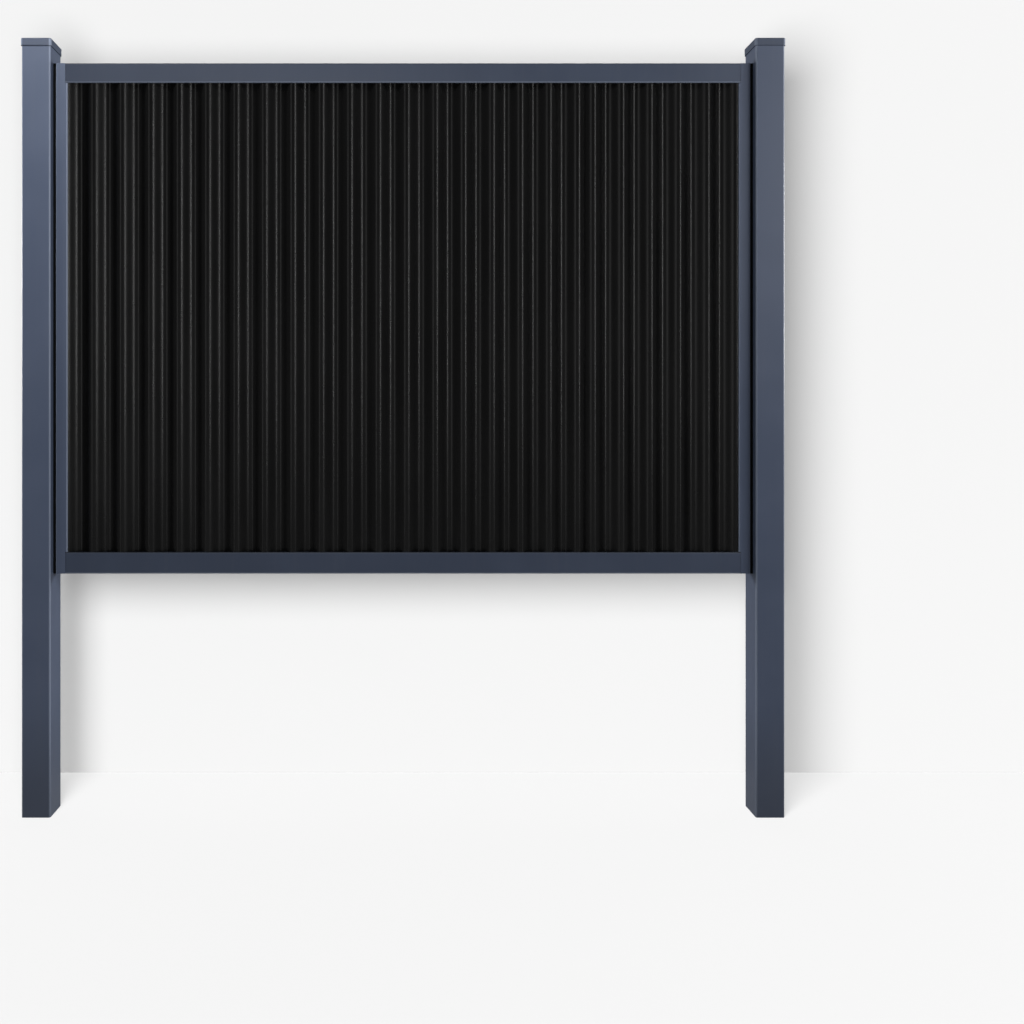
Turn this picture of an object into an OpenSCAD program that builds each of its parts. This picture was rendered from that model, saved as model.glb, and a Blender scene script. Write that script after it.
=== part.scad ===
// Metal privacy fence: one bay, a steel-framed panel of corrugated sheet between two square posts.
// The origin is the centre of the left post's foot. +X runs along the fence to the right post,
// the front faces -Y and +Z is up. All sizes are in millimetres.

/* [Posts] */
// Side of the square post tube
post_w = 101.6; // [80:0.1:150]
// How far a post tube runs on above the panel
post_above = 76; // [30:1:300]
// Wall of the post tube
post_wall = 2.5; // [1.5:0.1:6]
// Outer corner radius of the post tube
post_corner_r = 6; // [3:0.5:12]
// Clear distance between the two posts
bay_clear = 2485; // [1500:1:3200]

/* [Post caps] */
// How far a cap's skirt stands proud of the post
cap_overhang = 3.2; // [2:0.1:8]
// Height of a cap's skirt below the top plate
cap_skirt = 23; // [10:1:60]
// Thickness of a cap's top plate
cap_top = 3; // [2:0.5:8]
// Gap between a cap's skirt and the post
cap_fit = 0.3; // [0.2:0.1:1]

/* [Panel frame] */
// Height of the panel's lower edge above the foot
panel_z = 855; // [50:1:1200]
// Height of the panel frame
panel_h = 1812; // [800:1:2400]
// Face width of the top rail
top_face = 69; // [40:1:120]
// Face width of the bottom rail
bottom_face = 76; // [40:1:120]
// Face width of a stile
stile_face = 42; // [30:1:100]
// Thickness of the frame's folded steel
frame_t = 1.6; // [1:0.1:3]
// Outer bend radius of the frame's folds
bend_r = 4.5; // [3.5:0.1:8]
// How far a rail's end runs into the notch in a stile's lip
cope = 8; // [6:0.5:20]
// Joint line left between a rail's end and a stile's notch
joint_line = 0.8; // [0.3:0.1:2]
// Clearance between a rail's tongue and the stile that it closes
tongue_gap = 0.3; // [0.2:0.1:0.6]
// How far the panel's middle stands in front of the posts' middle
panel_forward = 6; // [0:0.5:20]

/* [Gap strips] */
// Gap between a post and the panel frame, filled by a strip
strip_t = 9; // [4:0.5:25]
// How far a strip's faces lie inside the panel frame's faces
strip_recess = 1; // [0.5:0.1:5]

/* [Corrugated sheets] */
// Pitch of the corrugation
pitch = 101.6; // [70:0.1:130]
// Depth of the corrugation, crown to valley
wave_depth = 25; // [12:0.5:40]
// Thickness of the sheet steel
sheet_t = 0.6; // [0.4:0.05:1.5]
// Corrugations that a full sheet covers
sheet_pitches = 9; // [4:1:10]
// Distance from the bay's centre to the crown next to the cut seam
seam_crown_x = 623; // [500:1:750]
// Distance from the last crown of the full sheets to the first crown of the cut sheet
seam_span = 56; // [40:1:70]
// Width of the lap between the two full sheets
lap = 42; // [20:1:80]
// Gap between lapped sheets, and between a sheet's side edge and a stile
sheet_gap = 0.25; // [0.1:0.05:0.6]
// Clearance in depth between the sheets' crowns and the ends of the frame's lips
lip_clear = 1.75; // [1.5:0.05:8]
// Clearance above a sheet's top edge
top_clear = 1; // [0.5:0.5:10]

/* [Hidden] */
// Names of the sub-parts, one node each

slate = [0.29, 0.32, 0.39];
black = [0.05, 0.05, 0.055];
rubber = [0.03, 0.03, 0.035];

// Depth of the panel frame: its lips close on the sheets from the front and the back
panel_depth = wave_depth + sheet_t + 2 * (bend_r + lip_clear);
panel_front_y = -panel_depth / 2;

// Places along the fence
bay_mid_x = post_w / 2 + bay_clear / 2;
right_post_x = post_w + bay_clear;
panel_x0 = post_w / 2 + strip_t;
panel_x1 = right_post_x - panel_x0;
panel_w = panel_x1 - panel_x0;

// Heights
panel_top = panel_z + panel_h;
post_h = panel_top + post_above;
top_rail_z = panel_top - top_face;
sheet_z0 = panel_z + frame_t;
sheet_z1 = panel_top - frame_t - top_clear;

// The wave: its crowns face the front, and a sheet with no setback is centred in the frame's depth
amplitude = wave_depth / 2;
wave_step = pitch / 24;
wave_mid_y = -sheet_t / 2;

// Where each sheet starts and ends
last_crown_x = bay_mid_x + seam_crown_x;
cut_crown_x = last_crown_x + seam_span;
middle_x1 = last_crown_x + pitch / 2;
middle_x0 = middle_x1 - sheet_pitches * pitch;
left_x0 = panel_x0 + frame_t + sheet_gap;
left_x1 = middle_x0 + lap;
cut_x1 = panel_x1 - frame_t - sheet_gap;

// The cut sheet's left edge lies on the middle sheet where the two waves cross
seam_slope = 2 * PI * amplitude / pitch * sin(180 * seam_span / pitch);
cut_x0 = last_crown_x + seam_span / 2 + (sheet_t + sheet_gap) / (2 * seam_slope);

// Square with rounded corners, centred, from plain squares and circles
module rounded_square(side, r) {
    square([side, side - 2 * r], center = true);
    square([side - 2 * r, side], center = true);
    for (sx = [-1, 1], sy = [-1, 1])
        translate([sx * (side / 2 - r), sy * (side / 2 - r)])
            circle(r = r, $fn = 48);
}

// Square tube standing on its foot
module post_tube() {
    difference() {
        linear_extrude(height = post_h)
            rounded_square(post_w, post_corner_r);
        translate([0, 0, -1])
            linear_extrude(height = post_h + 2)
                rounded_square(post_w - 2 * post_wall, post_corner_r - post_wall);
    }
}

// Cap seated on a tube's top end: a plate with rounded edges over a thin skirt
module post_cap() {
    outer = post_w + 2 * cap_overhang;
    outer_r = post_corner_r + cap_overhang;
    inner = post_w + 2 * cap_fit;
    inner_r = post_corner_r + cap_fit;
    difference() {
        union() {
            translate([0, 0, post_h - cap_skirt])
                linear_extrude(height = cap_skirt)
                    rounded_square(outer, outer_r);
            cap_edge(outer, outer_r);
        }
        translate([0, 0, post_h - cap_skirt - 1])
            linear_extrude(height = cap_skirt + 1)
                rounded_square(inner, inner_r);
    }
}

// Top plate of a cap, with its upper edge rounded by the plate's own thickness
module cap_edge(side, r) {
    flat = side - 2 * r;
    translate([0, 0, post_h]) {
        linear_extrude(height = cap_top)
            rounded_square(side - 2 * cap_top, r - cap_top);
        for (turn = [0 : 90 : 270])
            rotate([0, 0, turn]) {
                translate([side / 2 - r, side / 2 - r, 0])
                    rotate_extrude(angle = 90, $fn = 48)
                        translate([r - cap_top, 0])
                            intersection() {
                                circle(r = cap_top, $fn = 48);
                                square(cap_top);
                            }
                translate([side / 2 - cap_top, -flat / 2, 0])
                    rotate([-90, 0, 0])
                        intersection() {
                            cylinder(r = cap_top, h = flat, $fn = 48);
                            translate([0, -cap_top, 0])
                                cube([cap_top, cap_top, flat]);
                        }
            }
    }
}

// Section of a folded channel. X is the depth of the frame and Y the face width: the web is at
// the bottom, and the lips stand up from it and end in quarter bends that turn inwards.
module channel_section(face) {
    mirrored_half(face);
    mirror([1, 0])
        mirrored_half(face);
}

// Half of the section, from the middle of the web to the end of one lip
module mirrored_half(face) {
    half = panel_depth / 2;
    inner_r = bend_r - frame_t;
    square([half - bend_r, frame_t]);
    translate([half - frame_t, bend_r])
        square([frame_t, face - 2 * bend_r]);
    quarter_bend(half - bend_r, bend_r, inner_r, -1);
    quarter_bend(half - bend_r, face - bend_r, inner_r, 1);
}

// Quarter of a ring, outside corner at +X and at the given side of Y
module quarter_bend(x, y, inner_r, side) {
    translate([x, y])
        intersection() {
            difference() {
                circle(r = bend_r, $fn = 48);
                circle(r = inner_r, $fn = 48);
            }
            translate([0, side > 0 ? 0 : -bend_r])
                square(bend_r);
        }
}

// Rail along X with its web at the bottom and its lips turned up. The web runs on past the lips
// as a tongue that closes the open end of each stile.
module rail(face) {
    notch = stile_face - cope + joint_line;
    tongue_w = panel_depth - 2 * (frame_t + tongue_gap);
    translate([panel_x0 + notch, 0, 0])
        rotate([90, 0, 90])
            linear_extrude(height = panel_w - 2 * notch)
                channel_section(face);
    translate([panel_x0 + bend_r, -tongue_w / 2, 0])
        cube([panel_w - 2 * bend_r, tongue_w, frame_t]);
}

// Stile at the left, with its web against the strip and its lips notched for the rails' ends
module stile() {
    difference() {
        translate([panel_x0, 0, panel_z])
            rotate([0, 0, -90])
                linear_extrude(height = panel_h)
                    channel_section(stile_face);
        stile_notch(top_rail_z - joint_line, top_face + joint_line + 1);
        stile_notch(panel_z - 1, bottom_face + joint_line + 1);
    }
}

// Space that a rail's end takes out of the stile's lips
module stile_notch(z, height) {
    translate([panel_x0 + stile_face - cope, panel_front_y - 1, z])
        cube([cope + 1, panel_depth + 2, height]);
}

// Strip between the left post and the left stile
module gap_strip() {
    translate([post_w / 2, panel_front_y + strip_recess, panel_z])
        cube([strip_t, panel_depth - 2 * strip_recess, panel_h]);
}

// A piece of the panel, drawn about Y = 0, in its place in front of the posts' middle
module forward() {
    translate([0, -panel_forward, 0])
        children();
}

// The same piece at the other end of the bay
module at_right_end() {
    translate([right_post_x, 0, 0])
        mirror([1, 0, 0])
            children();
}

// Depth of the front of the wave at x, for a wave with a crown at crown_x
function wave_y(x, crown_x) = wave_mid_y - amplitude * cos(360 * (x - crown_x) / pitch);

// Places along the fence where the wave is sampled: both ends, and even steps from a crown
function wave_places(x0, x1, crown_x) = concat(
    [x0],
    [for (x = [crown_x + ceil((x0 - crown_x) / wave_step) * wave_step : wave_step : x1])
        if (x > x0 + 0.1 && x < x1 - 0.1) x],
    [x1]
);

// Corrugated sheet from x0 to x1, set back from the panel's middle by setback
module corrugated_sheet(x0, x1, crown_x, setback) {
    places = wave_places(x0, x1, crown_x);
    last = len(places) - 1;
    front = [for (x = places) [x, wave_y(x, crown_x)]];
    back = [for (i = [last : -1 : 0]) [places[i], wave_y(places[i], crown_x) + sheet_t]];
    translate([0, setback, sheet_z0])
        linear_extrude(height = sheet_z1 - sheet_z0)
            polygon(concat(front, back));
}

module left_post() {
    color(slate) post_tube();
}

module right_post() {
    color(slate) at_right_end() post_tube();
}

module left_post_cap() {
    color(slate) post_cap();
}

module right_post_cap() {
    color(slate) at_right_end() post_cap();
}

module top_rail() {
    color(slate)
        forward()
            translate([0, 0, panel_top])
                mirror([0, 0, 1])
                    rail(top_face);
}

module bottom_rail() {
    color(slate)
        forward()
            translate([0, 0, panel_z])
                rail(bottom_face);
}

module left_stile() {
    color(slate) forward() stile();
}

module right_stile() {
    color(slate) forward() at_right_end() stile();
}

module left_gap_strip() {
    color(rubber) forward() gap_strip();
}

module right_gap_strip() {
    color(rubber) forward() at_right_end() gap_strip();
}

module left_sheet() {
    color(black)
        forward()
            corrugated_sheet(left_x0, left_x1, last_crown_x, sheet_t + sheet_gap);
}

module middle_sheet() {
    color(black) forward() corrugated_sheet(middle_x0, middle_x1, last_crown_x, 0);
}

module right_cut_sheet() {
    color(black) forward() corrugated_sheet(cut_x0, cut_x1, cut_crown_x, 0);
}

left_post();
right_post();
left_post_cap();
right_post_cap();
top_rail();
bottom_rail();
left_stile();
right_stile();
left_gap_strip();
right_gap_strip();
left_sheet();
middle_sheet();
right_cut_sheet();
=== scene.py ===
import logging
import math
from collections.abc import Callable
from dataclasses import dataclass, field, replace
from enum import Enum

import bpy
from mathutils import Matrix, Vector


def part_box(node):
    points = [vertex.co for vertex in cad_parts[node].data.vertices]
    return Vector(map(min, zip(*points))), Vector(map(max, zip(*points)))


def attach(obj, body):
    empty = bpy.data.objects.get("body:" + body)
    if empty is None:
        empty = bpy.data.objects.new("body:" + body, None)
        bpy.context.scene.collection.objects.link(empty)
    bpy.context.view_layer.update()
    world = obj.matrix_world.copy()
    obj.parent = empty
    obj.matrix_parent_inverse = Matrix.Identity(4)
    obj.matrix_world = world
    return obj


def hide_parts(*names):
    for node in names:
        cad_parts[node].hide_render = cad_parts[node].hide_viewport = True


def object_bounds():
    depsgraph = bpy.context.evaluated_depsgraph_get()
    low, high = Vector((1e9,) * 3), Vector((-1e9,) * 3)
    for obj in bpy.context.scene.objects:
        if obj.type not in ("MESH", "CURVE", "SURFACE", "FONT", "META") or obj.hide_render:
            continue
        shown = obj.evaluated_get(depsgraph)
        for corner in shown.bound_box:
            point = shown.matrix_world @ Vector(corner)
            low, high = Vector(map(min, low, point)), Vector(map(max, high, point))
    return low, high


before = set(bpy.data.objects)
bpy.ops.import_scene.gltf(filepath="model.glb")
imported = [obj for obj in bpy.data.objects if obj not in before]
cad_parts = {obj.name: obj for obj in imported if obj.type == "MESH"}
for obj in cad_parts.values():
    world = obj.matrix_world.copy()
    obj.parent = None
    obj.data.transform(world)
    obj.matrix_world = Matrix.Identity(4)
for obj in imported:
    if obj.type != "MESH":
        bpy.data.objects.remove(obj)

CAD_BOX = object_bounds()
BODY = "root"
MM = 0.001

BEND_BAND = (0.002, 0.03)
UP_BAND = (0.05, 0.35)
EDGE_BAND = (0.03, 0.22)
EDGE_SAMPLES = 4
SHEAR_TOLERANCE = 0.001 * MM
SQUARE_ON = 0.9
STAGE_IN_GLOSS = 0.12
PLAIN_WHITE = (1.0, 1.0, 1.0, 1.0)

log = logging.getLogger("fence")

Colour = tuple[float, float, float]
Place = tuple[float, float, float]
Band = tuple[float, float]
Value = "float | tuple[float, ...] | Wire"


class Slot(Enum):
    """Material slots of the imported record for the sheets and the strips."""

    SHEET = "sheet_paint"
    STRIP = "strip_rubber"


class Axis(Enum):
    """Row axes, as the index of a coordinate."""

    X = 0
    Y = 1
    Z = 2


# ---------------------------------------------------------------- shader maths


class Wire:
    """An output socket that takes arithmetic: each operator adds one Math node."""

    def __init__(self, bench: "Bench", socket: bpy.types.NodeSocket) -> None:
        """Wraps a socket of the bench's node tree.

        Args:
            bench: The material under construction.
            socket: The output socket that carries the value.
        """
        self.bench = bench
        self.socket = socket

    def _math(self, operation: str, *values: Value) -> "Wire":
        """Adds a Math node and returns its result.

        Args:
            operation: The Math node's operation.
            *values: Its operands, numbers or wires, in order.

        Returns:
            The node's output.
        """
        inputs = dict(enumerate(values))
        return self.bench.add("ShaderNodeMath", {"operation": operation}, inputs)

    def __add__(self, other: Value) -> "Wire":
        """Sum."""
        return self._math("ADD", self, other)

    __radd__ = __add__

    def __sub__(self, other: Value) -> "Wire":
        """Difference."""
        return self._math("SUBTRACT", self, other)

    def __rsub__(self, other: Value) -> "Wire":
        """Difference with the wire on the right."""
        return self._math("SUBTRACT", other, self)

    def __mul__(self, other: Value) -> "Wire":
        """Product."""
        return self._math("MULTIPLY", self, other)

    __rmul__ = __mul__

    def size(self) -> "Wire":
        """The value without its sign."""
        return self._math("ABSOLUTE", self)

    def larger(self, other: Value) -> "Wire":
        """The larger of two values."""
        return self._math("MAXIMUM", self, other)

    def clamp(self) -> "Wire":
        """The value held between 0 and 1."""
        return self.bench.add("ShaderNodeClamp", {}, {0: self})

    def between(self, low: float, high: float) -> "Wire":
        """Rises smoothly from 0 at low to 1 at high.

        Args:
            low: Value that gives 0.
            high: Value that gives 1. It may be the lower of the two, for a falling curve.

        Returns:
            The eased value.
        """
        settings = {"interpolation_type": "SMOOTHSTEP"}
        inputs = {"Value": self, "From Min": low, "From Max": high}
        return self.bench.add("ShaderNodeMapRange", settings, inputs)


class Bench:
    """Builds one material's node tree."""

    def __init__(self, name: str) -> None:
        """Starts an empty material.

        Args:
            name: The material's name.
        """
        self.material = bpy.data.materials.new(name)
        self.material.use_nodes = True
        self.tree = self.material.node_tree
        self.tree.nodes.clear()

    def add(self, kind: str, settings: dict[str, object] | None = None,
            inputs: dict[int | str, Value] | None = None, output: int | str = 0) -> Wire:
        """Adds a node, sets it up and fills its inputs.

        Args:
            kind: The node's type.
            settings: Its own settings, made before the inputs.
            inputs: Values or wires, by socket name or index.
            output: The socket that is returned.

        Returns:
            The chosen output.
        """
        node = self.tree.nodes.new(kind)
        for key, value in (settings or {}).items():
            setattr(node, key, value)
        for key, value in (inputs or {}).items():
            if isinstance(value, Wire):
                self.tree.links.new(value.socket, node.inputs[key])
            else:
                node.inputs[key].default_value = value
        return Wire(self, node.outputs[output])

    def place(self) -> Wire:
        """Object coordinates, which are the row frame's on every piece."""
        return self.add("ShaderNodeTexCoord", output="Object")

    def noise(self, at: Wire, scale: float, detail: float = 2.0) -> Wire:
        """Noise between 0 and 1, centred on 0.5.

        Args:
            at: Where it is read.
            scale: Features a metre.
            detail: Octaves.

        Returns:
            The noise value.
        """
        inputs = {"Vector": at, "Scale": scale, "Detail": detail}
        return self.add("ShaderNodeTexNoise", {}, inputs)

    def stretched_noise(self, scale: Place, detail: float = 2.0) -> Wire:
        """Noise that runs farther along one axis than along another.

        Args:
            scale: Features a metre along each axis.
            detail: Octaves.

        Returns:
            The noise value.
        """
        inputs = {"Vector": self.place(), "Scale": scale}
        return self.noise(self.add("ShaderNodeMapping", {}, inputs), 1.0, detail)

    def mix(self, amount: Value, first: Value, second: Value) -> Wire:
        """Blend of two colours.

        Args:
            amount: 0 gives the first and 1 the second.
            first: Colour or wire.
            second: Colour or wire.

        Returns:
            The blended colour.
        """
        pair = [c if isinstance(c, Wire) else (*c, 1.0) for c in (first, second)]
        settings = {"data_type": "RGBA"}
        return self.add("ShaderNodeMix", settings, {0: amount, 6: pair[0], 7: pair[1]}, 2)

    def vector(self, operation: str, first: Value, second: Value, output: int = 0) -> Wire:
        """Adds a Vector Math node.

        Args:
            operation: Its operation.
            first: Vector or wire.
            second: Vector or wire.
            output: 0 for a vector and 1 for a number.

        Returns:
            The chosen output.
        """
        inputs = {0: first, 1: second}
        return self.add("ShaderNodeVectorMath", {"operation": operation}, inputs, output)

    def coordinate(self, axis: Axis) -> Wire:
        """One coordinate of the place, in metres."""
        return self.add("ShaderNodeSeparateXYZ", {}, {0: self.place()}, axis.value)

    def bump(self, height: Wire, depth: float, normal: Wire | None = None) -> Wire:
        """Normal of a surface with a fine relief.

        Args:
            height: Relief between 0 and 1.
            depth: Metres that 1 stands above 0.
            normal: Normal of a coarser relief underneath.

        Returns:
            The normal.
        """
        inputs: dict[int | str, Value] = {"Height": height, "Distance": depth, "Strength": 1.0}
        if normal is not None:
            inputs["Normal"] = normal
        return self.add("ShaderNodeBump", {}, inputs)

    def folds(self) -> tuple[Wire, Wire]:
        """Where the metal bends: every flat face is square to an axis and no bend is.

        Returns:
            Masks of the bends that look down or sideways, and of those that look up.
        """
        normal = self.add("ShaderNodeNewGeometry", output="Normal")
        sides = [self.add("ShaderNodeSeparateXYZ", {}, {0: normal}, axis.value) for axis in Axis]
        square, *others = [side.size() for side in sides]
        for other in others:
            square = square.larger(other)
        bent = (1.0 - square).between(*BEND_BAND)
        up = sides[Axis.Z.value].between(*UP_BAND)
        return bent * (1.0 - up), bent * up

    def edges(self, radius: float) -> Wire:
        """1 along sharp edges and 0 on flats and wide bends.

        Args:
            radius: How far from an edge it reaches, in metres.

        Returns:
            The mask.
        """
        round_normal = self.add("ShaderNodeBevel", {"samples": EDGE_SAMPLES}, {"Radius": radius})
        flat_normal = self.add("ShaderNodeNewGeometry", output="Normal")
        along = self.vector("DOT_PRODUCT", round_normal, flat_normal, 1)
        return (1.0 - along).between(*EDGE_BAND)

    def surface(self, colour: Wire, roughness: Wire, normal: Wire, gloss: float) -> Wire:
        """Painted surface.

        Args:
            colour: Base colour.
            roughness: Roughness.
            normal: Normal with its relief.
            gloss: Specular level, 0.5 for plain paint.

        Returns:
            The shader.
        """
        inputs = {"Base Color": colour, "Roughness": roughness, "Normal": normal,
                  "Specular IOR Level": gloss}
        return self.add("ShaderNodeBsdfPrincipled", {}, inputs)

    def finish(self, shader: Wire) -> bpy.types.Material:
        """Joins the shader to the output and returns the material."""
        out = self.tree.nodes.new("ShaderNodeOutputMaterial")
        self.tree.links.new(shader.socket, out.inputs["Surface"])
        return self.material


# -------------------------------------------------------------------- finishes


@dataclass(frozen=True)
class PowderCoat:
    """Satin powder coat on folded steel: faint cloudiness, orange peel, wear on sharp edges, a
    painted highlight on bends that face down or sideways, and painted shade on bends that face up
    and towards the floor.
    """

    name: str = "slate_powder_coat"
    colour: Colour = (0.058, 0.075, 0.119)
    cloud: Colour = (0.067, 0.085, 0.133)
    # Pale tone: real wear on sharp edges, and a painted highlight on bends that face down or
    # sideways.
    wear_and_highlight: Colour = (0.160, 0.188, 0.252)
    dust: Colour = (0.210, 0.195, 0.170)
    # Dark tone of painted shade on bends that face up and towards the floor.
    painted_shade: Colour = (0.022, 0.026, 0.034)
    roughness: float = 0.44
    gloss: float = 0.3
    clouds_per_m: float = 5.0
    cloud_band: Band = (0.35, 0.68)
    cloud_share: float = 0.6
    cloud_roughness: float = 0.05
    runs_per_m: Place = (55.0, 55.0, 1.6)
    run_band: Band = (0.45, 0.75)
    run_dust: float = 0.05
    specks_per_m: float = 900.0
    speck_band: Band = (0.66, 0.74)
    speck_roughness: float = 0.04
    even_dust: float = 0.35
    dust_roughness: float = 0.3
    foot_height: float = 0.45
    foot_dust: float = 0.06
    # Painted shade that deepens towards the floor, and painted shade on bends that face up.
    foot_shade: float = 0.42
    bend_shade: float = 0.7
    # Painted highlight on bends that face down or sideways.
    bend_highlight: float = 0.9
    edge: float = 0.9 * MM
    wear_per_m: float = 160.0
    wear_band: Band = (0.40, 0.62)
    wear_share: float = 0.5
    peel_per_m: float = 420.0
    peel_depth: float = 0.05 * MM
    grain_per_m: float = 2600.0
    grain_depth: float = 0.012 * MM

    def build(self) -> bpy.types.Material:
        """Makes the material.

        Returns:
            The material, ready to assign.
        """
        bench = Bench(self.name)
        place = bench.place()
        clouds = bench.noise(place, self.clouds_per_m, detail=4.0).between(*self.cloud_band)
        runs = bench.stretched_noise(self.runs_per_m, detail=3.0).between(*self.run_band)
        specks = bench.noise(place, self.specks_per_m).between(*self.speck_band)
        foot = bench.coordinate(Axis.Z).between(self.foot_height, 0.0)
        dusty = foot * self.foot_dust + runs * self.run_dust
        dusty = dusty * (self.even_dust + specks * (1 - self.even_dust))
        wear = bench.noise(place, self.wear_per_m, detail=3.0).between(*self.wear_band)
        # Mask of real wear on sharp edges, broken up by noise.
        wear_and_highlight = bench.edges(self.edge) * wear
        # Bends that face down or sideways get a painted highlight, and bends that face up get
        # painted shade.
        highlit_bends, upward = bench.folds()
        # Where the painted shade goes: bends that face up and the lowest part of each piece.
        shade_mask = (upward * self.bend_shade + foot * self.foot_shade).clamp()
        base = bench.mix(clouds * self.cloud_share, self.colour, self.cloud)
        base = bench.mix(dusty, base, self.dust)
        # Painted highlight on bends that face down or sideways.
        base = bench.mix(highlit_bends * self.bend_highlight, base, self.wear_and_highlight)
        # Painted shade on bends that face up and towards the floor.
        base = bench.mix(shade_mask, base, self.painted_shade)
        # Real wear on sharp edges, in the same pale tone as the painted highlight on bends.
        base = bench.mix(wear_and_highlight * self.wear_share, base, self.wear_and_highlight)
        peel = bench.bump(bench.noise(place, self.peel_per_m, detail=1.0), self.peel_depth)
        grain = bench.bump(bench.noise(place, self.grain_per_m), self.grain_depth, peel)
        rough = (self.roughness + clouds * self.cloud_roughness + dusty * self.dust_roughness
                 + specks * self.speck_roughness)
        return bench.finish(bench.surface(base, rough, grain, self.gloss))


@dataclass(frozen=True)
class CoilCoat:
    """Glossy coil coating on rolled sheet: fine lines along the roll, soft waves in the metal."""

    name: str = "black_coil_coat"
    colour: Colour = (0.0048, 0.0048, 0.0050)
    haze: Colour = (0.0068, 0.0068, 0.0071)
    dust: Colour = (0.030, 0.029, 0.026)
    roughness: float = 0.24
    gloss: float = 0.2
    haze_per_m: Place = (7.0, 7.0, 2.2)
    haze_band: Band = (0.35, 0.7)
    haze_roughness: float = 0.05
    specks_per_m: float = 700.0
    speck_band: Band = (0.68, 0.76)
    speck_share: float = 0.12
    speck_roughness: float = 0.1
    waves_per_m: Place = (2.0, 2.0, 3.5)
    wave_depth: float = 0.35 * MM
    lines_per_m: Place = (1500.0, 1500.0, 6.0)
    line_depth: float = 0.006 * MM
    line_roughness: float = 0.04

    def build(self) -> bpy.types.Material:
        """Makes the material.

        Returns:
            The material, ready to assign.
        """
        bench = Bench(self.name)
        haze = bench.stretched_noise(self.haze_per_m, detail=4.0).between(*self.haze_band)
        lines = bench.stretched_noise(self.lines_per_m)
        specks = bench.noise(bench.place(), self.specks_per_m).between(*self.speck_band)
        waves = bench.stretched_noise(self.waves_per_m, detail=1.0)
        base = bench.mix(haze, self.colour, self.haze)
        base = bench.mix(specks * self.speck_share, base, self.dust)
        rolled = bench.bump(waves, self.wave_depth)
        lined = bench.bump(lines, self.line_depth, rolled)
        rough = (self.roughness + haze * self.haze_roughness
                 + (lines - 0.5) * self.line_roughness + specks * self.speck_roughness)
        return bench.finish(bench.surface(base, rough, lined, self.gloss))


@dataclass(frozen=True)
class Rubber:
    """Matt black rubber with a fine skin."""

    name: str = "black_rubber"
    colour: Colour = (0.0028, 0.0030, 0.0036)
    bloom: Colour = (0.0055, 0.0058, 0.0068)
    roughness: float = 0.78
    gloss: float = 0.06
    bloom_per_m: float = 30.0
    bloom_band: Band = (0.4, 0.75)
    bloom_share: float = 0.7
    bloom_roughness: float = 0.08
    grain_per_m: float = 1400.0
    grain_depth: float = 0.05 * MM

    def build(self) -> bpy.types.Material:
        """Makes the material.

        Returns:
            The material, ready to assign.
        """
        bench = Bench(self.name)
        place = bench.place()
        bloom = bench.noise(place, self.bloom_per_m, detail=4.0).between(*self.bloom_band)
        grain = bench.noise(place, self.grain_per_m, detail=3.0)
        base = bench.mix(bloom * self.bloom_share, self.colour, self.bloom)
        normal = bench.bump(grain, self.grain_depth)
        rough = self.roughness + bloom * self.bloom_roughness
        return bench.finish(bench.surface(base, rough, normal, self.gloss))


@dataclass(frozen=True)
class ShadowLamp:
    """Round soft lamp beside the camera that lights the stage alone, as far as it reaches."""

    place: Vector
    power: float
    radius: float

    def light_on(self, bench: Bench, normal: Place, albedo: float) -> Wire:
        """How brightly it lights a matt surface where nothing stands in its way.

        Args:
            bench: The surface's material.
            normal: The surface's normal.
            albedo: How much of the light it gives back.

        Returns:
            The radiance.
        """
        ray = bench.vector("SUBTRACT", tuple(self.place), bench.place())
        ray = bench.add("ShaderNodeVectorMath", {"operation": "NORMALIZE"}, {0: ray})
        facing = bench.vector("DOT_PRODUCT", ray, normal, 1)
        return facing * (self.power * albedo / (4 * math.pi ** 2))

    def hang(self, lit: bpy.types.Collection) -> None:
        """Hangs the lamp.

        Args:
            lit: What it lights.
        """
        data = bpy.data.lights.new("shadow_lamp", "POINT")
        data.shadow_soft_size = self.radius
        data.energy = self.power
        data.use_nodes = True
        tree = data.node_tree
        reach = tree.nodes.new("ShaderNodeLightFalloff")
        reach.inputs["Strength"].default_value = 1.0
        tree.links.new(reach.outputs["Constant"], tree.nodes["Emission"].inputs["Strength"])
        lamp = bpy.data.objects.new("shadow_lamp", data)
        bpy.context.scene.collection.objects.link(lamp)
        lamp.location = self.place
        lamp.visible_camera = False
        lamp.light_linking.receiver_collection = lit


@dataclass(frozen=True)
class StagePaint:
    """Pale studio surface: its glow makes up what the lamp falls short of an even white."""

    name: str
    normal: Place
    glow: float
    lift: float = 0.0
    albedo: float = 0.15

    def build(self, lamp: ShadowLamp) -> bpy.types.Material:
        """Makes the material. Its back lets everything through, so that it never hides the object.

        Args:
            lamp: The lamp that lights it.

        Returns:
            The material, ready to assign.
        """
        bench = Bench(self.name)
        path = [bench.add("ShaderNodeLightPath", output=name)
                for name in ("Is Camera Ray", "Is Glossy Ray", "Is Transmission Ray")]
        seen = (path[0] + path[1] * STAGE_IN_GLOSS + path[2]).clamp()
        white = self.glow - bench.coordinate(Axis.Y) * self.lift
        short = (white - lamp.light_on(bench, self.normal, self.albedo)).clamp()
        glow = bench.add("ShaderNodeEmission", {}, {"Strength": seen * short})
        grey = (self.albedo, self.albedo, self.albedo, 1.0)
        matt = bench.add("ShaderNodeBsdfDiffuse", {}, {"Color": grey})
        front = bench.add("ShaderNodeAddShader", {}, {0: glow, 1: matt})
        clear = bench.add("ShaderNodeBsdfTransparent")
        back = bench.add("ShaderNodeNewGeometry", output="Backfacing")
        return bench.finish(bench.add("ShaderNodeMixShader", {}, {0: back, 1: front, 2: clear}))


# ------------------------------------------------------------------- modelling


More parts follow.
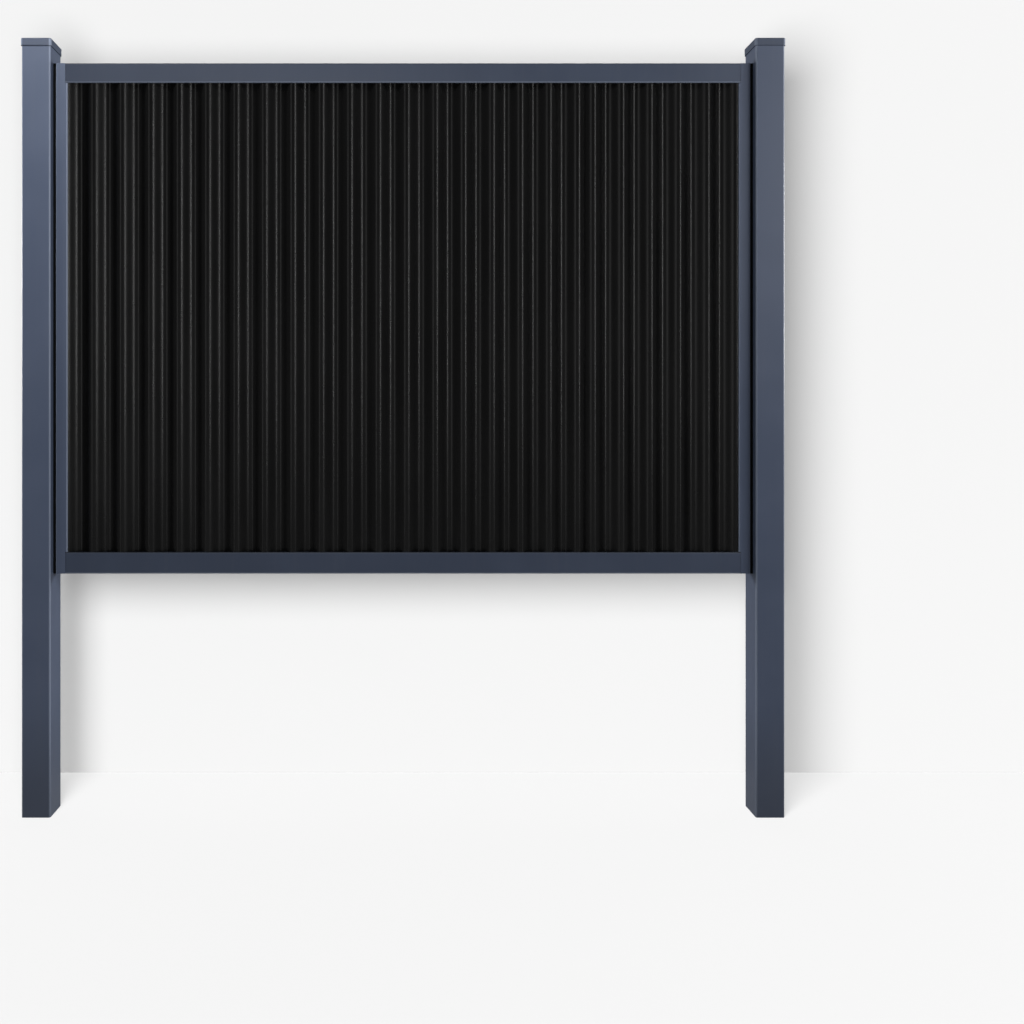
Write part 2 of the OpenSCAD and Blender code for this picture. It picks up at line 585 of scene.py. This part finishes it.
class Selection:
    """Picks objects, or the faces or vertices of a mesh by their place."""

    @staticmethod
    def clear_all() -> None:
        """Leaves edit mode and deselects every object."""
        if bpy.context.object and bpy.context.object.mode != "OBJECT":
            bpy.ops.object.mode_set(mode="OBJECT")
        bpy.ops.object.select_all(action="DESELECT")

    @staticmethod
    def faces(piece: bpy.types.Object, wanted: Callable[[Vector, Vector], bool]) -> None:
        """Selects the faces that a test on centre and normal accepts, and enters face mode.

        Args:
            piece: The active object.
            wanted: The test.
        """
        bpy.ops.object.mode_set(mode="EDIT")
        bpy.ops.mesh.select_mode(type="FACE")
        bpy.ops.mesh.select_all(action="DESELECT")
        bpy.ops.object.mode_set(mode="OBJECT")
        for face in piece.data.polygons:
            face.select = wanted(face.center, face.normal)
        bpy.ops.object.mode_set(mode="EDIT")

    @staticmethod
    def vertices(piece: bpy.types.Object, wanted: Callable[[Vector], bool]) -> None:
        """Selects the vertices that a test on their place accepts, and enters vertex mode.

        Args:
            piece: The active object.
            wanted: The test.
        """
        bpy.ops.object.mode_set(mode="EDIT")
        bpy.ops.mesh.select_mode(type="VERT")
        bpy.ops.mesh.select_all(action="DESELECT")
        bpy.ops.object.mode_set(mode="OBJECT")
        for vertex in piece.data.vertices:
            vertex.select = wanted(vertex.co)
        bpy.ops.object.mode_set(mode="EDIT")


def settle(piece: bpy.types.Object) -> None:
    """Puts a piece's place into its mesh, so that its object sits at the origin."""
    Selection.clear_all()
    piece.select_set(True)
    bpy.context.view_layer.objects.active = piece
    bpy.ops.object.transform_apply(location=True, rotation=True, scale=True)


def apply_modifier(piece: bpy.types.Object, kind: str, **settings: object) -> None:
    """Adds a modifier to the active object and applies it at once.

    Args:
        piece: The active object.
        kind: The modifier's type.
        **settings: Its settings.
    """
    bpy.ops.object.modifier_add(type=kind)
    modifier = piece.modifiers[-1]
    for key, value in settings.items():
        setattr(modifier, key, value)
    bpy.ops.object.modifier_apply(modifier=modifier.name)


def dress(piece: bpy.types.Object, material: bpy.types.Material) -> None:
    """Gives a piece one material.

    Args:
        piece: The object to dress.
        material: Its finish.
    """
    piece.data.materials.clear()
    piece.data.materials.append(material)


def carry(piece: bpy.types.Object, node: str) -> None:
    """Declares a new piece that stands for a CAD node.

    Args:
        piece: The new piece.
        node: The CAD node.
    """
    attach(piece, BODY)
    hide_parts(node)


@dataclass
class Wave:
    """Corrugation that every sheet shares."""

    pitch: float = 101.6 * MM
    sheet: float = 0.6 * MM
    steps: int = 48
    rows: int = 4
    seam_span: float = 56.0 * MM
    weld: float = 0.01 * MM
    smooth_angle: float = math.radians(30)

    def rise(self, depth: float, along: float) -> float:
        """How far the front of the sheet lies behind its crowns.

        Args:
            depth: Crown to valley.
            along: Distance from a crown.

        Returns:
            The distance behind the crowns.
        """
        return depth / 2 * (1 - math.cos(2 * math.pi * along / self.pitch))


@dataclass
class Cladding:
    """The three corrugated sheets."""

    wave: Wave = field(default_factory=Wave)
    finish: CoilCoat = field(default_factory=CoilCoat)

    def build(self) -> list[bpy.types.Object]:
        """Makes the sheets and dresses them.

        Returns:
            The sheets, from left to right.
        """
        last_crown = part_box("middle_sheet")[1].x - self.wave.pitch / 2
        crowns = {
            "left_sheet": last_crown,
            "middle_sheet": last_crown,
            "right_cut_sheet": last_crown + self.wave.seam_span,
        }
        coat = self.finish.build()
        sheets = []
        for node, crown in crowns.items():
            sheet = self.roll(node, crown)
            dress(sheet, coat)
            carry(sheet, node)
            sheets.append(sheet)
        return sheets

    def roll(self, node: str, crown: float) -> bpy.types.Object:
        """Rolls one sheet: one corrugation is shaped, repeated, cut to width and given its gauge.

        Args:
            node: The CAD node that it stands for.
            crown: Place along the fence of any of its crowns.

        Returns:
            The sheet.
        """
        low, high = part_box(node)
        pitch = self.wave.pitch
        depth = high.y - low.y - self.wave.sheet
        first = crown - math.ceil((crown - low.x) / pitch) * pitch
        count = math.ceil((high.x - first) / pitch)
        sheet = self.corrugation(node, first, low, high.z)
        self.fold(sheet, first, depth)
        apply_modifier(sheet, "ARRAY", count=count, use_relative_offset=True,
                       relative_offset_displace=(1.0, 0.0, 0.0), use_merge_vertices=True,
                       merge_threshold=self.wave.weld)
        self.cut(low.x, True)
        self.cut(high.x, False)
        apply_modifier(sheet, "SOLIDIFY", thickness=self.wave.sheet, offset=-1.0)
        bpy.ops.object.shade_smooth_by_angle(angle=self.wave.smooth_angle)
        settle(sheet)
        return sheet

    def corrugation(self, node: str, first: float, low: Vector, top: float) -> bpy.types.Object:
        """Flat blank of one corrugation, standing upright, with its front face to -Y.

        Args:
            node: The CAD node that the sheet stands for.
            first: Place along the fence of its left edge.
            low: The sheet's lowest corner.
            top: The sheet's top edge.

        Returns:
            The blank.
        """
        Selection.clear_all()
        middle = (first + self.wave.pitch / 2, low.y, (low.z + top) / 2)
        bpy.ops.mesh.primitive_grid_add(
            x_subdivisions=self.wave.steps, y_subdivisions=self.wave.rows, size=1.0,
            location=middle, rotation=(math.pi / 2, 0.0, 0.0))
        blank = bpy.context.object
        blank.name = f"{node}_rolled"
        blank.scale = (self.wave.pitch, top - low.z, 1.0)
        settle(blank)
        return blank

    def fold(self, sheet: bpy.types.Object, first: float, depth: float) -> None:
        """Moves each line of the blank back to the wave.

        Args:
            sheet: The blank.
            first: Place along the fence of its left edge, a crown.
            depth: Crown to valley.
        """
        step = self.wave.pitch / self.wave.steps
        for line in range(1, self.wave.steps):
            place = first + line * step
            Selection.vertices(sheet, lambda at, place=place: abs(at.x - place) < step / 2)
            back = self.wave.rise(depth, line * step)
            bpy.ops.transform.translate(value=(0.0, back, 0.0))
        bpy.ops.object.mode_set(mode="OBJECT")

    @staticmethod
    def cut(place: float, left: bool) -> None:
        """Shears the active sheet at a place along the fence.

        Args:
            place: Where the cut is.
            left: True drops what lies to the left of it, False what lies to the right.
        """
        bpy.ops.object.mode_set(mode="EDIT")
        bpy.ops.mesh.select_all(action="SELECT")
        bpy.ops.mesh.bisect(plane_co=(place, 0.0, 0.0), plane_no=(1.0, 0.0, 0.0),
                            clear_inner=left, clear_outer=not left, threshold=SHEAR_TOLERANCE)
        bpy.ops.object.mode_set(mode="OBJECT")


@dataclass
class GapStrips:
    """The two rubber strips between posts and panel, with a groove down each open face."""

    land_share: float = 0.3
    groove: float = 2.0 * MM
    rounding: float = 0.8 * MM
    segments: int = 4
    sharp_angle: float = math.radians(60)
    smooth_angle: float = math.radians(40)
    finish: Rubber = field(default_factory=Rubber)

    def build(self) -> list[bpy.types.Object]:
        """Makes both strips and dresses them.

        Returns:
            The strips, left and right.
        """
        skin = self.finish.build()
        strips = []
        for node in ("left_gap_strip", "right_gap_strip"):
            strip = self.mould(node)
            dress(strip, skin)
            carry(strip, node)
            strips.append(strip)
        return strips

    def mould(self, node: str) -> bpy.types.Object:
        """Moulds one strip inside the CAD strip's box.

        Args:
            node: The CAD node that it stands for.

        Returns:
            The strip.
        """
        low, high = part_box(node)
        Selection.clear_all()
        bpy.ops.mesh.primitive_cube_add(size=1.0, location=(low + high) / 2)
        strip = bpy.context.object
        strip.name = f"{node}_moulded"
        strip.scale = high - low
        settle(strip)
        Selection.faces(strip, lambda _, normal: abs(normal.y) > SQUARE_ON)
        bpy.ops.mesh.inset(thickness=(high.x - low.x) * self.land_share, depth=0.0)
        bpy.ops.mesh.extrude_region_shrink_fatten(
            TRANSFORM_OT_shrink_fatten={"value": -self.groove})
        bpy.ops.object.mode_set(mode="OBJECT")
        apply_modifier(strip, "BEVEL", width=self.rounding, segments=self.segments,
                       limit_method="ANGLE", angle_limit=self.sharp_angle, use_clamp_overlap=True)
        bpy.ops.object.shade_smooth_by_angle(angle=self.smooth_angle)
        settle(strip)
        return strip


@dataclass
class Steelwork:
    """Posts, caps, rails and stiles, which keep the CAD shapes."""

    upright: tuple[str, ...] = ("left_post", "right_post", "left_stile", "right_stile")
    darker: tuple[str, ...] = ("top_rail", "bottom_rail", "left_post_cap", "right_post_cap")
    finish: PowderCoat = field(default_factory=PowderCoat)
    darker_finish: PowderCoat = field(default_factory=lambda: PowderCoat(
        name="darker_powder_coat", colour=(0.042, 0.055, 0.088), cloud=(0.048, 0.063, 0.100)))

    def build(self) -> list[bpy.types.Object]:
        """Dresses the nodes.

        Returns:
            The dressed nodes.
        """
        dressed = []
        for names, finish in ((self.upright, self.finish), (self.darker, self.darker_finish)):
            coat = finish.build()
            for name in names:
                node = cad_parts[name]
                dress(node, coat)
                dressed.append(node)
        return dressed


# ---------------------------------------------------------------------- studio


@dataclass(frozen=True)
class Lamp:
    """Rectangular soft lamp that lights chosen pieces of the fence alone."""

    name: str
    place: Place
    aim: Place
    size: tuple[float, float]
    power: float

    def hang(self, lit: bpy.types.Collection, shading: bpy.types.Collection) -> None:
        """Hangs the lamp.

        Args:
            lit: What it lights.
            shading: What casts shadows in its light.
        """
        data = bpy.data.lights.new(self.name, "AREA")
        data.shape = "RECTANGLE"
        data.size, data.size_y = self.size
        data.energy = self.power
        lamp = bpy.data.objects.new(self.name, data)
        bpy.context.scene.collection.objects.link(lamp)
        lamp.location = self.place
        ray = Vector(self.aim) - Vector(self.place)
        lamp.rotation_euler = ray.to_track_quat("-Z", "Y").to_euler()
        lamp.visible_camera = False
        lamp.light_linking.receiver_collection = lit
        lamp.light_linking.blocker_collection = shading


@dataclass
class Studio:
    """Pale floor and wall with a lamp that casts the shadow, and soft lamps on the fence."""

    wall_gap: float = 0.30
    reach: float = 9.0
    white: float = 0.93
    floor_depth: float = 2.0
    wall_glow: float = 0.919
    floor_glow: float = 0.902
    floor_lift: float = 0.020
    air: float = 0.104
    shadow_place: Place = (-0.80, 0.0, 0.36)
    shadow_power: float = 190.0
    shadow_radius: float = 1.12
    key_power: float = 31.0
    rail_key_power: float = 13.0

    def build(self, pieces: list[bpy.types.Object]) -> None:
        """Sets the stage and the lights.

        Args:
            pieces: The fence's pieces, which the soft lamps light.
        """
        low, high = CAD_BOX
        middle = (low.x + high.x) / 2
        eye = bpy.context.scene.camera.location
        lamp = ShadowLamp(eye + Vector(self.shadow_place), self.shadow_power, self.shadow_radius)
        stage = self.stage(middle, high.y + self.wall_gap, lamp)
        lamp.hang(self.group("stage", stage))
        self.sky()
        fence = self.group("fence", pieces)
        below_rail = self.group("fence_but_top_rail", [p for p in pieces if p.name != "top_rail"])
        frames = [piece for piece in pieces if "sheet" not in piece.name]
        left_end = [piece for piece in frames if piece.name.startswith("left")]
        key = Lamp("key", (-0.2, -1.2, high.z + 1.15), (0.0, 0.0, high.z - 0.3), (0.8, 0.8),
                   self.key_power)
        rail_key = replace(key, power=self.rail_key_power)
        rows = (
            (left_end, fence, [key]),
            ([*left_end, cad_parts["top_rail"]], fence, [rail_key]),
            (frames, fence, self.steel_lamps(middle, high.z)),
            ([p for p in pieces if "sheet" in p.name], below_rail,
             self.sheet_lamps(middle, high.z)),
        )
        for members, shading, lamps in rows:
            lit = self.group("lit", members)
            for soft in lamps:
                soft.hang(lit, shading)

    @staticmethod
    def group(name: str, members: list[bpy.types.Object]) -> bpy.types.Collection:
        """Collection of what a lamp lights, or of what casts shadows in its light.

        Args:
            name: Its name.
            members: What it holds.

        Returns:
            The collection.
        """
        collection = bpy.data.collections.new(name)
        for member in members:
            collection.objects.link(member)
        return collection

    @staticmethod
    def steel_lamps(middle: float, top: float) -> list[Lamp]:
        """Lamps on the posts, the frame and the strips, placed from the fence's middle and top.

        Args:
            middle: Middle of the bay along the fence.
            top: Top of the posts.

        Returns:
            The lamps.
        """
        high_aim, low_aim = top * 0.75, top * 0.3
        right = (2 * middle, 0.0, high_aim)
        left = (0.0, 0.0, high_aim)
        low_left = (0.0, 0.0, low_aim)
        low_right = (2 * middle, 0.0, low_aim)
        return [
            Lamp("right_side", (middle + 3.4, -2.6, 3.2), right, (1.0, 1.6), 50.0),
            Lamp("right_far", (middle + 4.6, -2.0, 3.0), right, (1.0, 2.0), 98.0),
            Lamp("left_far", (middle - 4.6, -2.0, 2.6), left, (1.0, 2.0), 35.0),
            Lamp("left_fill", (middle - 0.5, -3.2, 2.9), left, (0.8, 1.2), 34.0),
            Lamp("back_right", (middle + 5.5, 3.0, 2.6), low_left, (1.0, 2.0), 340.0),
            Lamp("back_left", (middle - 5.5, 3.0, 2.6), low_right, (1.0, 2.0), 350.0),
        ]

    @staticmethod
    def sheet_lamps(middle: float, top: float) -> list[Lamp]:
        """Lamps whose reflections run down the sheets' crowns and valleys.

        Args:
            middle: Middle of the bay along the fence.
            top: Top of the posts.

        Returns:
            The lamps.
        """
        centre = (middle, 0.0, top * 0.6)
        return [
            Lamp("left_soft", (middle - 7.3, -10.0, 3.6), centre, (3.4, 8.8), 135.0),
            Lamp("right_soft", (middle + 7.3, -10.0, 3.6), centre, (3.2, 8.8), 80.0),
            Lamp("right_strip", (middle + 7.3, -9.9, 4.4), centre, (1.3, 6.4), 270.0),
            Lamp("front_soft", (middle, -10.5, 1.2), centre, (6.0, 7.0), 34.0),
            Lamp("back_right_soft", (middle + 4.0, 6.0, 2.2), centre, (1.2, 4.4), 60.0),
            Lamp("back_left_soft", (middle - 4.0, 6.0, 2.2), centre, (1.2, 4.4), 60.0),
        ]

    def stage(self, middle: float, wall_y: float, lamp: ShadowLamp) -> list[bpy.types.Object]:
        """Lays the floor and stands the wall.

        Args:
            middle: Middle of the bay along the fence.
            wall_y: Where the wall stands.
            lamp: The lamp that lights them.

        Returns:
            The floor and the wall.
        """
        front = wall_y - self.floor_depth / 2
        half = self.reach / 2
        cards = [
            ("floor", (middle, front, 0.0), (0.0, 0.0, 0.0), (self.reach, self.floor_depth, 1.0),
             StagePaint("floor_paint", (0.0, 0.0, 1.0), self.floor_glow, self.floor_lift)),
            ("wall", (middle, wall_y, half), (math.pi / 2, 0.0, 0.0), (self.reach, self.reach, 1.0),
             StagePaint("wall_paint", (0.0, -1.0, 0.0), self.wall_glow)),
        ]
        made = []
        for name, place, turn, size, paint in cards:
            Selection.clear_all()
            bpy.ops.mesh.primitive_plane_add(size=1.0, location=place, rotation=turn)
            card = bpy.context.object
            card.name = name
            card.scale = size
            settle(card)
            dress(card, paint.build(lamp))
            card.visible_glossy = name == "floor"
            made.append(card)
        return made

    def sky(self) -> None:
        """Even dim air that shows as plain white where the stage ends."""
        world = bpy.data.worlds.new("studio_air")
        bpy.context.scene.world = world
        world.use_nodes = True
        tree = world.node_tree
        tree.nodes.clear()
        path = tree.nodes.new("ShaderNodeLightPath")
        share = tree.nodes.new("ShaderNodeMath")
        share.operation = "MULTIPLY_ADD"
        share.inputs[1].default_value = STAGE_IN_GLOSS
        amount = tree.nodes.new("ShaderNodeMapRange")
        amount.inputs["To Min"].default_value = self.air
        amount.inputs["To Max"].default_value = self.white
        shine = tree.nodes.new("ShaderNodeBackground")
        shine.inputs["Color"].default_value = PLAIN_WHITE
        out = tree.nodes.new("ShaderNodeOutputWorld")
        tree.links.new(path.outputs["Is Glossy Ray"], share.inputs[0])
        tree.links.new(path.outputs["Is Camera Ray"], share.inputs[2])
        tree.links.new(share.outputs[0], amount.inputs["Value"])
        tree.links.new(amount.outputs[0], shine.inputs["Strength"])
        tree.links.new(shine.outputs[0], out.inputs["Surface"])


@dataclass
class Camera:
    """Shift camera square on to the fence."""

    distance: float = 3.201
    height: float = 1.418
    left_of_middle: float = 0.0093
    lens: float = 31.96
    sensor: float = 36.0
    shift: tuple[float, float] = (0.1089, -0.0947)

    def build(self) -> None:
        """Makes the scene's camera."""
        post_low, post_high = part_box("left_post")
        middle = (post_high.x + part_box("right_post")[0].x) / 2
        data = bpy.data.cameras.new("camera")
        data.lens = self.lens
        data.sensor_width = self.sensor
        data.shift_x, data.shift_y = self.shift
        camera = bpy.data.objects.new("camera", data)
        bpy.context.scene.collection.objects.link(camera)
        camera.location = (middle - self.left_of_middle, post_low.y - self.distance, self.height)
        camera.rotation_euler = (math.pi / 2, 0.0, 0.0)
        bpy.context.scene.camera = camera


def main() -> None:
    """Builds the camera, the fence's pieces and the studio."""
    logging.basicConfig(level=logging.INFO, format="%(name)s: %(message)s")
    bpy.context.scene.view_settings.view_transform = "Standard"
    Camera().build()
    pieces = [
        piece
        for assembly in (Steelwork(), Cladding(), GapStrips())
        for piece in assembly.build()
    ]
    for piece in pieces:
        log.info("%s: %d faces", piece.name, len(piece.data.polygons))
    Studio().build(pieces)


if __name__ == "__main__":
    main()
